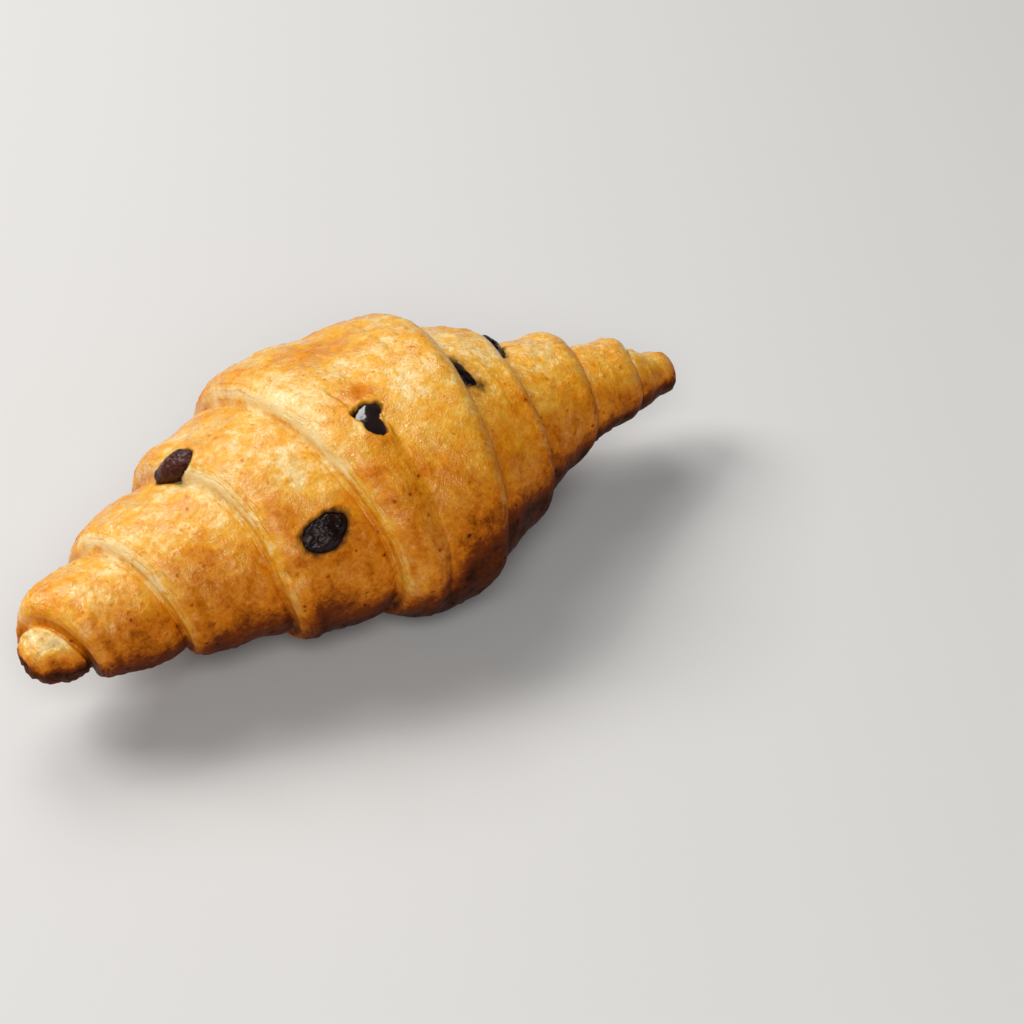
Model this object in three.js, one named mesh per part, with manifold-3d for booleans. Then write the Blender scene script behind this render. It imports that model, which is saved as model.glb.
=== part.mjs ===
// A straight rolled croissant with chocolate chips: one solid of stepped dough wraps, and the chips in it.
// Millimetres, +Z up. The roll lies along X and rests, at z 0, on the flat spot under its thick middle.

import * as THREE from 'three';
import { mergeVertices } from 'three/addons/utils/BufferGeometryUtils.js';
import Module from 'manifold-3d';

// Driving dimensions of the roll.
const HALF_LENGTH = 75;
const CROWN_RADIUS = 28.9;
const AXIS_HEIGHT = 21.4;
const TIP_DROP = 3.5;
const TIP_BEND = 5.2;
const WIDENING_MIDDLE = 1.16;
const WIDENING_TIP = 1.07;
const CENTRE_Y = 0.45;

// The dough sheet is rolled up from a thin core to a broad middle. A turn counts whole times round, from
// the bottom of the core up, and a phase is the part of a turn: 0 under the roll, 0.25 at the back,
// 0.5 on top and 0.75 at the front. The lists below hold a value for each turn from FIRST_TURN on, and
// the bulges are places where a wrap's edge runs further out, or less far.
const FIRST_TURN = 0.3;
const LAST_TURN = 4.3;
const LEFT_END = {
  sign: -1,
  edge: [72.8, 56.2, 37.1, 18.2, 0],
  crease: [6.9, 10.3, 16.3, 22.4, CROWN_RADIUS],
  step: [2.9, 3.8, 4, 4.5, 4.3],
  lip: [4.5, 4.5, 5.4, 5.2, 5.2],
  puff: 0.4,
  cap: 8.2,
  bulges: [
    { turn: 0.42, outward: 0.7 },
    { turn: 0.72, outward: -0.7 },
    { turn: 1.42, outward: 0.4 },
    { turn: 2.42, outward: 1.6 },
    { turn: 2.57, outward: -0.8 },
    { turn: 2.72, outward: 0.8 },
    { turn: 3.42, outward: 1.1 },
    { turn: 3.72, outward: -0.9 },
  ],
};
const RIGHT_END = {
  sign: 1,
  edge: [67.4, 54.8, 37.3, 24.6, 0],
  crease: [5.6, 9.7, 14.7, 22.8, CROWN_RADIUS],
  step: [2.6, 2.6, 3.8, 4.4, 3],
  lip: [5, 5, 3.6, 5, 5],
  puff: 0.3,
  cap: 3.6,
  bulges: [
    { turn: 0.42, outward: 0.6 },
    { turn: 0.57, outward: -0.6 },
    { turn: 0.72, outward: 0.3 },
    { turn: 1.42, outward: 1.1 },
    { turn: 1.72, outward: 0.8 },
    { turn: 2.42, outward: 1.7 },
    { turn: 2.57, outward: -0.6 },
    { turn: 2.72, outward: -0.5 },
    { turn: 3.42, outward: 1.9 },
    { turn: 3.57, outward: 0.4 },
  ],
};
const BULGE_TURNS = 0.1;
const LARGEST_LIP_SHARE = 0.6;
const STRAIGHT_CLIMB_SHARE = 0.5;
const STEP_SWING = 0.33;
const STEP_FADE_TURNS = 0.3;
const STEP_FADE_LENGTH = 3;
const FULL_PUFF_WIDTH = 14;

// Swellings and dents of the baked dough: place along X, phase, rise, and how far each spreads.
const LUMPS = [
  { x: -71, phase: 0.86, rise: 1.1, length: 4.5, turns: 0.1 },
  { x: -64.5, phase: 0.86, rise: -0.8, length: 4.5, turns: 0.1 },
  { x: -58, phase: 0.86, rise: -0.7, length: 4.5, turns: 0.1 },
  { x: -56, phase: 0.87, rise: 0.7, length: 5, turns: 0.08 },
  { x: -44, phase: 0.25, rise: 0.8, length: 8, turns: 0.1 },
  { x: -40, phase: 0.39, rise: -1, length: 4.5, turns: 0.1 },
  { x: -38.5, phase: 0.86, rise: 0.5, length: 4.5, turns: 0.1 },
  { x: -32, phase: 0.86, rise: -0.5, length: 4.5, turns: 0.1 },
  { x: -27, phase: 0.39, rise: -0.9, length: 4.5, turns: 0.1 },
  { x: -26, phase: 0.5, rise: 0.7, length: 8, turns: 0.09 },
  { x: -25.5, phase: 0.86, rise: 0.9, length: 4.5, turns: 0.1 },
  { x: -6, phase: 0.86, rise: -1.2, length: 4.5, turns: 0.1 },
  { x: -6, phase: 0.9, rise: -1, length: 7, turns: 0.08 },
  { x: 0.5, phase: 0.86, rise: 1.2, length: 4.5, turns: 0.1 },
  { x: 5.5, phase: 0.39, rise: -1, length: 4.5, turns: 0.1 },
  { x: 12, phase: 0.2, rise: 0.9, length: 12, turns: 0.08 },
  { x: 14, phase: 0.8, rise: 1.3, length: 8, turns: 0.08 },
  { x: 19, phase: 0.38, rise: -0.9, length: 8, turns: 0.08 },
  { x: 25, phase: 0.39, rise: -1.2, length: 4.5, turns: 0.1 },
  { x: 31.5, phase: 0.39, rise: -0.4, length: 4.5, turns: 0.1 },
  { x: 33, phase: 0.62, rise: 0.8, length: 7, turns: 0.1 },
  { x: 36.5, phase: 0.47, rise: -1.1, length: 3.5, turns: 0.06 },
  { x: 38, phase: 0.39, rise: -1, length: 4.5, turns: 0.1 },
  { x: 44.5, phase: 0.39, rise: -1.5, length: 4.5, turns: 0.1 },
  { x: 48, phase: 0.3, rise: 0.6, length: 6, turns: 0.12 },
  { x: 57.5, phase: 0.39, rise: -1.7, length: 4.5, turns: 0.1 },
  { x: 70.5, phase: 0.39, rise: -1.2, length: 4.5, turns: 0.1 },
  { x: 71, phase: 0.9, rise: 1.8, length: 9, turns: 0.2 },
];

// Mesh of the roll: columns round it, and rows across each wrap's rounded lip and its back.
const COLUMNS = 60;
const LIP_ROWS = [0, 0.12, 0.45, 1];
const BACK_ROWS = [0.33, 0.7];

// Chips: place along X, phase, half sizes along, across and through, turn in the dough, and how proud
// the middle of the chip stands of the dough's surface. Their rims wave twice and three times round.
const CHIP_GAP = 0.3;
const CHIP_SIDES = 12;
const CHIP_RINGS = 8;
const CHIP_OVAL = 0.05;
const CHIP_CORNERS = 0.04;
const CHIP_CORNER_SHIFT = 2.3;
const CHIPS = [
  { name: 'chip_front', x: -20, phase: 0.648, size: [5, 3.3, 1.6], degrees: 6, proud: -1.1 },
  { name: 'chip_crown', x: -2.3, phase: 0.558, size: [4.6, 3.3, 1.8], degrees: 57, proud: -1.3 },
  { name: 'chip_left', x: -34.7, phase: 0.45, size: [5, 2.7, 2.2], degrees: -48, proud: -0.9 },
  { name: 'chip_right', x: 21.6, phase: 0.538, size: [2.4, 4.4, 1.8], degrees: 12, proud: -1.1 },
  { name: 'chip_skyline', x: 36, phase: 0.468, size: [3.9, 2.6, 1.9], degrees: 0, proud: -0.3 },
  { name: 'chip_back_left', x: -47, phase: 0.235, size: [3.9, 3.2, 2], degrees: 25, proud: -0.9 },
  { name: 'chip_back_middle', x: -9, phase: 0.255, size: [4.2, 3.3, 1.7], degrees: -50, proud: -1.1 },
  { name: 'chip_back_low', x: 17, phase: 0.19, size: [3.6, 3.4, 1.7], degrees: 10, proud: -0.9 },
  { name: 'chip_back_right', x: 46, phase: 0.25, size: [4, 3, 2], degrees: 75, proud: -0.8 },
];

// Short steps along and round the roll that give the direction of its surface under a chip.
const NORMAL_STEP_LENGTH = 1.5;
const NORMAL_STEP_TURNS = 0.012;
const MERGE_DISTANCE = 1e-3;

const crustMaterial = new THREE.MeshStandardMaterial({ color: 0xd09040, roughness: 0.5, metalness: 0 });
const chocolateMaterial = new THREE.MeshStandardMaterial({ color: 0x351a10, roughness: 0.35, metalness: 0 });

const { clamp, lerp, degToRad } = THREE.MathUtils;

// Value at a turn, on a smooth curve through a list's values.
function alongTurns(values, turn) {
  const last = values.length - 1;
  const place = clamp(turn, FIRST_TURN - 1, LAST_TURN) - FIRST_TURN;
  const before = clamp(Math.floor(place), 0, last - 1);
  const slopeAt = (i) => {
    const low = Math.max(i - 1, 0);
    const high = Math.min(i + 1, last);
    return (values[high] - values[low]) / (high - low);
  };
  if (place < 0) {
    return values[0] + place * slopeAt(0);
  }
  const t = place - before;
  const square = t * t;
  const cube = square * t;
  return (2 * cube - 3 * square + 1) * values[before]
    + (cube - 2 * square + t) * slopeAt(before)
    + (3 * square - 2 * cube) * values[before + 1]
    + (cube - square) * slopeAt(before + 1);
}

// How much further out than its smooth line a wrap's edge runs.
function bulgeAt(end, turn) {
  const nearness = (bulge) => Math.exp(-(((turn - bulge.turn) / BULGE_TURNS) ** 2));
  const sum = end.bulges.reduce((total, bulge) => total + bulge.outward * nearness(bulge), 0);
  return sum * clamp(turn / FIRST_TURN, 0, 1) * clamp((LAST_TURN - turn) / FIRST_TURN, 0, 1);
}

// Distance of a wrap's edge from mid-length. Before the first turn it is the tip itself.
function edgeAt(end, turn) {
  if (turn < 0) {
    return HALF_LENGTH;
  }
  if (turn >= LAST_TURN) {
    return 0;
  }
  const line = turn < FIRST_TURN
    ? lerp(HALF_LENGTH, end.edge[0], turn / FIRST_TURN)
    : alongTurns(end.edge, turn);
  return Math.max(line + bulgeAt(end, turn), 0);
}

// One wrap as it is cut at a phase: from its own edge in to the next wrap's edge. Its step up from the
// wrap below is deepest on top of the roll and shallowest under it.
function wrapAt(end, turn) {
  const outer = edgeAt(end, turn);
  const width = outer - edgeAt(end, turn + 1);
  const start = Math.max(turn, 0);
  const lip = Math.min(alongTurns(end.lip, start), LARGEST_LIP_SHARE * width);
  const fade = clamp((LAST_TURN - turn) / STEP_FADE_TURNS, 0, 1)
    * clamp((HALF_LENGTH - outer) / STEP_FADE_LENGTH, 0, 1);
  const swing = 1 - STEP_SWING * Math.cos(2 * Math.PI * turn);
  return {
    outer,
    width,
    lip,
    lowRadius: alongTurns(end.crease, start),
    nextRadius: alongTurns(end.crease, turn + 1),
    step: alongTurns(end.step, start) * fade * swing,
    puff: end.puff * clamp(width / FULL_PUFF_WIDTH, 0, 1),
  };
}

// Radius of the roll at a distance in from a wrap's edge: a rounded lip, then a back that climbs to the
// foot of the next wrap.
function radiusInside(wrap, inward) {
  const along = wrap.width > wrap.lip ? clamp((inward - wrap.lip) / (wrap.width - wrap.lip), 0, 1) : 0;
  const climb = lerp(along * along * (3 - 2 * along), along, STRAIGHT_CLIMB_SHARE);
  const back = lerp(wrap.lowRadius + wrap.step, wrap.nextRadius, climb) + wrap.puff * 4 * along * (1 - along);
  const reach = wrap.lip > 0 ? clamp(inward / wrap.lip, 0, 1) : 0;
  const rise = Math.sqrt(1 - (1 - reach) ** 2);
  return lerp(wrap.lowRadius, back, rise);
}

// Radius of the roll at any place along it and round it.
function radiusAt(x, phase) {
  const end = x < 0 ? LEFT_END : RIGHT_END;
  const distance = Math.abs(x);
  let turn = phase - 1;
  while (edgeAt(end, turn + 1) > distance) {
    turn += 1;
  }
  const wrap = wrapAt(end, turn);
  return radiusInside(wrap, wrap.outer - distance);
}

// Point of the surface, with the tips rounded off, the lumps added and the bottom pressed flat.
function surfacePoint(x, radius, phase) {
  const share = x / HALF_LENGTH;
  const cap = x < 0 ? LEFT_END.cap : RIGHT_END.cap;
  const nearTip = clamp((HALF_LENGTH - Math.abs(x)) / cap, 0, 1);
  const rounding = Math.sqrt(1 - (1 - nearTip) ** 2);
  let full = radius;
  for (const lump of LUMPS) {
    const apart = phase - lump.phase - Math.round(phase - lump.phase);
    full += lump.rise * Math.exp(-(((x - lump.x) / lump.length) ** 2) - (apart / lump.turns) ** 2);
  }
  const angle = 2 * Math.PI * phase;
  const widening = lerp(WIDENING_MIDDLE, WIDENING_TIP, share * share);
  const y = CENTRE_Y - TIP_BEND * share * share + full * rounding * widening * Math.sin(angle);
  const z = AXIS_HEIGHT - TIP_DROP * share * share - ((full * rounding) / widening) * Math.cos(angle);
  return new THREE.Vector3(x, y, Math.max(z, 0));
}

// Closed geometry from points and triangles, with shared points merged and flat triangles left out.
function closedGeometry(positions, triangles) {
  const loose = new THREE.BufferGeometry();
  loose.setAttribute('position', new THREE.Float32BufferAttribute(positions, 3));
  loose.setIndex(triangles);
  const merged = mergeVertices(loose, MERGE_DISTANCE);
  const index = [];
  for (let i = 0; i < merged.index.count; i += 3) {
    const [a, b, c] = [0, 1, 2].map((corner) => merged.index.getX(i + corner));
    if (a !== b && b !== c && c !== a) {
      index.push(a, b, c);
    }
  }
  merged.setIndex(index);
  return merged;
}

// Points of one end of the roll: rows[row][column], from the tip to mid-length. Each row follows its
// wrap's edge round the roll, so a row that ends under the roll goes on as the same row of the next turn.
function endRows(end) {
  const rows = [];
  for (let turn = -1; turn < LAST_TURN; turn += 1) {
    const places = [
      ...LIP_ROWS.map((share) => (wrap) => wrap.lip * share),
      ...BACK_ROWS.map((share) => (wrap) => lerp(wrap.lip, wrap.width, share)),
    ];
    for (const placeIn of places) {
      const row = [];
      for (let column = 0; column < COLUMNS; column += 1) {
        const phase = column / COLUMNS;
        const wrap = wrapAt(end, turn + phase);
        const inward = placeIn(wrap);
        row.push(surfacePoint(end.sign * (wrap.outer - inward), radiusInside(wrap, inward), phase));
      }
      rows.push(row);
    }
  }
  rows.push(Array.from({ length: COLUMNS }, (_, column) => surfacePoint(0, CROWN_RADIUS, column / COLUMNS)));
  return rows;
}

// The whole roll as one closed surface.
function doughGeometry() {
  const rowsInTurn = LIP_ROWS.length + BACK_ROWS.length;
  const positions = [];
  const triangles = [];
  for (const end of [LEFT_END, RIGHT_END]) {
    const rows = endRows(end);
    const first = positions.length / 3;
    rows.flat().forEach((point) => positions.push(point.x, point.y, point.z));
    const corner = (row, column) => {
      const wrapped = column < COLUMNS ? row : Math.min(row + rowsInTurn, rows.length - 1);
      return first + wrapped * COLUMNS + (column % COLUMNS);
    };
    for (let row = 0; row < rows.length - 1; row += 1) {
      for (let column = 0; column < COLUMNS; column += 1) {
        const [a, b] = [corner(row, column), corner(row, column + 1)];
        const [c, d] = [corner(row + 1, column), corner(row + 1, column + 1)];
        if (end.sign > 0) {
          triangles.push(a, d, b, a, c, d);
        } else {
          triangles.push(a, b, d, a, d, c);
        }
      }
    }
  }
  return closedGeometry(positions, triangles);
}

// Where a chip sits: on the dough, its thickness along the surface's normal.
function chipMatrix(chip) {
  const nearby = (length, turns) => {
    const [x, phase] = [chip.x + length, chip.phase + turns];
    return surfacePoint(x, radiusAt(x, phase), phase);
  };
  const alongRoll = nearby(NORMAL_STEP_LENGTH, 0).sub(nearby(-NORMAL_STEP_LENGTH, 0));
  const roundRoll = nearby(0, -NORMAL_STEP_TURNS).sub(nearby(0, NORMAL_STEP_TURNS));
  const normal = new THREE.Vector3().crossVectors(roundRoll, alongRoll).normalize();
  if (normal.dot(nearby(0, 0).sub(surfacePoint(chip.x, 0, 0))) < 0) {
    normal.negate();
  }
  const across = alongRoll.normalize().applyAxisAngle(normal, degToRad(chip.degrees));
  const side = new THREE.Vector3().crossVectors(normal, across).normalize();
  const middle = nearby(0, 0).addScaledVector(normal, chip.proud);
  return new THREE.Matrix4().makeBasis(across.crossVectors(side, normal), side, normal).setPosition(middle);
}

// Share by which a chip's rim swells or draws in at a direction round it.
function chipWave(around, seed) {
  const oval = CHIP_OVAL * Math.sin(2 * around + seed);
  return oval + CHIP_CORNERS * Math.sin(3 * around + CHIP_CORNER_SHIFT * seed);
}

// A chip's uneven lump, grown all round by a gap where it is the pocket that holds the chip.
function chipGeometry(chip, seed, gap) {
  const ball = new THREE.SphereGeometry(1, CHIP_SIDES, CHIP_RINGS);
  ball.deleteAttribute('normal');
  ball.deleteAttribute('uv');
  const round = mergeVertices(ball);
  const points = round.attributes.position;
  const [length, width, thickness] = chip.size.map((half) => half + gap);
  const matrix = chipMatrix(chip);
  const point = new THREE.Vector3();
  for (let i = 0; i < points.count; i += 1) {
    point.fromBufferAttribute(points, i);
    const rim = Math.hypot(point.x, point.y);
    const uneven = 1 + rim * chipWave(Math.atan2(point.y, point.x), seed);
    point.set(point.x * length * uneven, point.y * width * uneven, point.z * thickness);
    points.setXYZ(i, ...point.applyMatrix4(matrix).toArray());
  }
  return round;
}

// Solid of a closed geometry, and the geometry of a solid.
function solidOf(wasm, geometry) {
  const vertProperties = new Float32Array(geometry.attributes.position.array);
  const triVerts = new Uint32Array(geometry.index.array);
  return new wasm.Manifold(new wasm.Mesh({ numProp: 3, vertProperties, triVerts }));
}

function geometryOf(solid) {
  const mesh = solid.getMesh();
  const geometry = new THREE.BufferGeometry();
  geometry.setAttribute('position', new THREE.BufferAttribute(mesh.vertProperties, 3));
  geometry.setIndex(new THREE.BufferAttribute(mesh.triVerts, 1));
  geometry.computeVertexNormals();
  return geometry;
}

function namedMesh(name, geometry, material) {
  const mesh = new THREE.Mesh(geometry, material);
  mesh.name = name;
  return mesh;
}

const wasm = await Module();
wasm.setup();

const croissant = new THREE.Group();
let dough = solidOf(wasm, doughGeometry());
CHIPS.forEach((chip, number) => {
  dough = dough.subtract(solidOf(wasm, chipGeometry(chip, number, CHIP_GAP)));
  croissant.add(namedMesh(chip.name, chipGeometry(chip, number, 0), chocolateMaterial));
});
croissant.add(namedMesh('pastry', geometryOf(dough), crustMaterial));

export default croissant;
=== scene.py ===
"""A straight rolled croissant with chocolate chips, dressed and lit for a studio photograph.

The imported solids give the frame. The pastry and each chip are modelled again, finer, from the same sizes:
the roll's formulas below are worked in millimetres, and the meshes are written in metres.
"""

from __future__ import annotations

import logging
import math
from collections.abc import Callable
from dataclasses import dataclass
from enum import Enum
from functools import partial

import bpy
import numpy as np
from mathutils import Matrix, Vector, noise

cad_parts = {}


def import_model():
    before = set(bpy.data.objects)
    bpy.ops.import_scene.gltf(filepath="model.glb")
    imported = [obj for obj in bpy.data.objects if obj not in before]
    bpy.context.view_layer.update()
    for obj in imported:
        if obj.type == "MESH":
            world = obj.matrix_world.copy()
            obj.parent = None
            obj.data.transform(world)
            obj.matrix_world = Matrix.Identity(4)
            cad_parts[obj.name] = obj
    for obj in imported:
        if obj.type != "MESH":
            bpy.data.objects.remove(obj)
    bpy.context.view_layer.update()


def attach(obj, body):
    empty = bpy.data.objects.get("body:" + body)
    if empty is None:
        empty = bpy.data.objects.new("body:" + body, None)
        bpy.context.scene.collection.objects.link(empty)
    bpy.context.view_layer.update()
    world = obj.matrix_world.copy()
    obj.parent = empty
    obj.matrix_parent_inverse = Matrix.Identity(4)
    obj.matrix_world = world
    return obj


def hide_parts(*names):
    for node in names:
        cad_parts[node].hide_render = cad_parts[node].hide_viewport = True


LOG = logging.getLogger("croissant")
MM = 0.001
BODY = "root"
Array = np.ndarray
Pair = tuple[float, float]
Tones = tuple[tuple[float, str], ...]
Inputs = dict[str | int, object] | tuple[object, ...]
Adder = Callable[..., bpy.types.Node]
NOISE_SHIFT = np.array([13.7, 7.1, 3.3])
NOISE_FALLOFF = 1.0
NOISE_RATIO = 2.0

# A colour mix has several inputs of one name, so its own are known by their numbers.
MIX_SHARE = 0
MIX_UNDER = 6
MIX_OVER = 7
MIX_RESULT = 2


class Slot(Enum):
    """The record's material slots."""

    CRUST = "crust"
    CHOCOLATE = "chocolate"


class End(Enum):
    """The two ends of the roll, by the sign of their X."""

    LEFT = -1
    RIGHT = 1


def deselect_all() -> None:
    """Leaves edit mode and clears the selection, which a load or a new primitive leaves set."""
    if bpy.context.object and bpy.context.object.mode != "OBJECT":
        bpy.ops.object.mode_set(mode="OBJECT")
    bpy.ops.object.select_all(action="DESELECT")


def make_active(piece: bpy.types.Object) -> None:
    """Makes one object the selected and active one.

    Args:
        piece: The object that the next operators work on.
    """
    deselect_all()
    piece.select_set(True)
    bpy.context.view_layer.objects.active = piece


def read_all(items: bpy.types.bpy_prop_collection, key: str, width: int = 1) -> Array:
    """One property of a mesh's points, or of their values, as an array.

    Args:
        items: The points, their normals or their values.
        key: The property's name.
        width: How many numbers each item has.

    Returns:
        A number for each item, or a row of them where it has several.
    """
    values = np.empty(len(items) * width)
    items.foreach_get(key, values)
    return values.reshape(-1, width) if width > 1 else values


def write_points(mesh: bpy.types.Mesh, points: Array, marks: dict[str, Array]) -> None:
    """Moves a mesh's points, and gives each the marks that the later steps and the materials read.

    Args:
        mesh: The mesh.
        points: The new places, in millimetres.
        marks: A value for each point, by name.
    """
    mesh.vertices.foreach_set("co", (points * MM).ravel())
    for name, values in marks.items():
        mesh.attributes.new(name, "FLOAT", "POINT").data.foreach_set("value", values)
    mesh.update()


@dataclass(frozen=True)
class Waviness:
    """Smooth noise over a surface: its height and the size of its lumps in millimetres, seed and layers."""

    height: float
    size: float
    seed: float
    octaves: int

    def at(self, points: Array, number: int = 0) -> Array:
        """The noise at points.

        Args:
            points: The points, in millimetres, one a row.
            number: Added to the seed, so that each chip has a pattern of its own.

        Returns:
            One value for each point, up to about the height, either way.
        """
        moved = points / self.size + (self.seed + number) * NOISE_SHIFT
        values = [noise.fractal(Vector(point), NOISE_FALLOFF, NOISE_RATIO, self.octaves) for point in moved]
        return self.height * np.array(values)


def smoothstep(low: float, high: float, value: Array) -> Array:
    """Smooth 0 to 1 as a value goes from low to high.

    Args:
        low: Value where the result is 0.
        high: Value where the result is 1.
        value: The values.

    Returns:
        The smoothed shares.
    """
    share = np.clip((value - low) / (high - low), 0.0, 1.0)
    return share * share * (3.0 - 2.0 * share)


@dataclass(frozen=True)
class Fade:
    """A change that sets in smoothly from one value to another, as a share of what it changes."""

    start: float
    end: float
    change: float

    def at(self, value: Array) -> Array:
        """What to multiply by at each value."""
        return 1 + self.change * smoothstep(self.start, self.end, value)


@dataclass(frozen=True)
class RollEnd:
    """One end of the roll: a value for each whole turn of the dough from the first on, in millimetres.

    Each bulge of the edges is its place along the sheet, in turns, and how far it stands out.
    """

    sign: int
    edge: tuple[float, ...]
    crease: tuple[float, ...]
    step: tuple[float, ...]
    lip: tuple[float, ...]
    puff: float
    cap: float
    lamination: float
    bulges: tuple[tuple[float, float], ...]


@dataclass(frozen=True)
class Lump:
    """A swelling or dent of the baked dough: its place along and round the roll, its rise and its size."""

    x: float
    phase: float
    rise: float
    length: float = 4.5
    turns: float = 0.1


@dataclass(frozen=True)
class Chip:
    """A chip: its place, half sizes, turn and how proud its middle stands; then the dough's hole round it.

    The rim is how far the dough rises round the hole. The hole, its raggedness and the chocolate that has
    soaked in round it are shares of the chip's size. A melted chip has set again smooth and glossy, and a
    warm one is redder. Each tear moves the hole's edge out or in: its direction round the chip in degrees,
    how far as a share of the chip's size, and its spread in degrees.
    """

    name: str
    x: float
    phase: float
    size: tuple[float, float, float]
    degrees: float
    proud: float
    rim: float
    hole: float
    ragged: float = 0.05
    soaked: float = 0.14
    melted: float = 0.0
    warmth: float = 0.0
    tears: tuple[tuple[float, float, float], ...] = ()


@dataclass
class Wraps:
    """Wraps of the roll as they are cut at many phases at once."""

    outer: Array
    width: Array
    lip: Array
    low: Array
    following: Array
    step: Array
    puff: Array


@dataclass
class Roll:
    """The rolled dough's form, from the same sizes as the solid."""

    half_length: float = 75.0
    crown: float = 28.9
    axis_height: float = 21.4
    tip_drop: float = 3.5
    tip_bend: float = 5.2
    widening_middle: float = 1.16
    widening_tip: float = 1.07
    centre_y: float = 0.45
    first_turn: float = 0.3
    last_turn: float = 4.3
    bulge_turns: float = 0.1
    largest_lip_share: float = 0.6
    step_swing: float = 0.33
    step_fade_turns: float = 0.3
    step_fade_length: float = 3.0
    full_puff_width: float = 14.0
    least_width: float = 1e-9
    left: RollEnd = RollEnd(
        sign=-1,
        edge=(72.8, 56.2, 37.1, 18.2, 0.0),
        crease=(6.9, 10.3, 16.3, 22.4, 28.9),
        step=(2.9, 3.8, 4.0, 4.5, 4.3),
        lip=(4.5, 4.5, 5.4, 5.2, 5.2),
        puff=0.4,
        cap=8.2,
        lamination=1.0,
        bulges=(
            (0.42, 0.7), (0.72, -0.7), (1.42, 0.4), (2.42, 1.6), (2.57, -0.8), (2.72, 0.8), (3.42, 1.1),
            (3.72, -0.9),
        ),
    )
    right: RollEnd = RollEnd(
        sign=1,
        edge=(67.4, 54.8, 37.3, 24.6, 0.0),
        crease=(5.6, 9.7, 14.7, 22.8, 28.9),
        step=(2.6, 2.6, 3.8, 4.4, 3.0),
        lip=(5.0, 5.0, 3.6, 5.0, 5.0),
        puff=0.3,
        cap=3.6,
        lamination=0.25,
        bulges=(
            (0.42, 0.6), (0.57, -0.6), (0.72, 0.3), (1.42, 1.1), (1.72, 0.8), (2.42, 1.7), (2.57, -0.6),
            (2.72, -0.5), (3.42, 1.9), (3.57, 0.4),
        ),
    )
    lumps: tuple[Lump, ...] = tuple(Lump(*row) for row in (
        (-71, 0.86, 1.1), (-64.5, 0.86, -0.8), (-58, 0.86, -0.7), (-56, 0.87, 0.7, 5, 0.08),
        (-44, 0.25, 0.8, 8, 0.1), (-40, 0.39, -1), (-38.5, 0.86, 0.5), (-32, 0.86, -0.5), (-27, 0.39, -0.9),
        (-26, 0.5, 0.7, 8, 0.09), (-25.5, 0.86, 0.9), (-6, 0.86, -1.2), (-6, 0.9, -1, 7, 0.08),
        (0.5, 0.86, 1.2), (5.5, 0.39, -1), (12, 0.2, 0.9, 12, 0.08), (14, 0.8, 1.3, 8, 0.08),
        (19, 0.38, -0.9, 8, 0.08), (25, 0.39, -1.2), (31.5, 0.39, -0.4), (33, 0.62, 0.8, 7, 0.1),
        (36.5, 0.47, -1.1, 3.5, 0.06), (38, 0.39, -1), (44.5, 0.39, -1.5), (48, 0.3, 0.6, 6, 0.12),
        (57.5, 0.39, -1.7), (70.5, 0.39, -1.2), (71, 0.9, 1.8, 9, 0.2),
    ))

    def along_turns(self, values: tuple[float, ...], turn: Array) -> Array:
        """Value at each turn, on a smooth curve through a list's values.

        Args:
            values: One value for each whole turn from the first on.
            turn: The places along the rolled sheet.

        Returns:
            The value at each place.
        """
        listed = np.asarray(values, dtype=float)
        slope = np.gradient(listed)
        place = np.clip(turn, self.first_turn - 1.0, self.last_turn) - self.first_turn
        before = np.clip(np.floor(place).astype(int), 0, len(listed) - 2)
        t = place - before
        square, cube = t * t, t * t * t
        curve = (
            (2 * cube - 3 * square + 1) * listed[before]
            + (cube - 2 * square + t) * slope[before]
            + (3 * square - 2 * cube) * listed[before + 1]
            + (cube - square) * slope[before + 1]
        )
        return np.where(place < 0, listed[0] + place * slope[0], curve)

    def edge_at(self, end: RollEnd, turn: Array) -> Array:
        """Distance of each wrap's edge from mid-length; before the first turn it is the tip itself.

        Args:
            end: The end of the roll.
            turn: The places along the rolled sheet.

        Returns:
            The distances.
        """
        edge = np.maximum(self.along_turns(end.edge, turn), 0.0)
        start = self.half_length + (end.edge[0] - self.half_length) * turn / self.first_turn
        edge = np.where(turn < self.first_turn, start, edge)
        bulge = sum(outward * np.exp(-(((turn - at) / self.bulge_turns) ** 2)) for at, outward in end.bulges)
        bulge = bulge * np.clip(turn / self.first_turn, 0, 1)
        bulge = bulge * np.clip((self.last_turn - turn) / self.first_turn, 0, 1)
        edge = np.where(turn < 0, self.half_length, np.maximum(edge + bulge, 0.0))
        return np.where(turn >= self.last_turn, 0.0, edge)

    def wraps_at(self, end: RollEnd, turn: Array) -> Wraps:
        """The wraps from their own edge in to the next wrap's edge.

        Args:
            end: The end of the roll.
            turn: The places along the rolled sheet.

        Returns:
            The sizes of the wrap at each place.
        """
        outer = self.edge_at(end, turn)
        width = outer - self.edge_at(end, turn + 1)
        start = np.maximum(turn, 0.0)
        lip = np.minimum(self.along_turns(end.lip, start), self.largest_lip_share * width)
        fade = np.clip((self.last_turn - turn) / self.step_fade_turns, 0, 1)
        fade = fade * np.clip((self.half_length - outer) / self.step_fade_length, 0, 1)
        swing = 1.0 - self.step_swing * np.cos(2 * math.pi * turn)
        return Wraps(
            outer=outer,
            width=width,
            lip=lip,
            low=self.along_turns(end.crease, start),
            following=self.along_turns(end.crease, turn + 1),
            step=self.along_turns(end.step, start) * fade * swing,
            puff=end.puff * np.clip(width / self.full_puff_width, 0, 1),
        )

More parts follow.
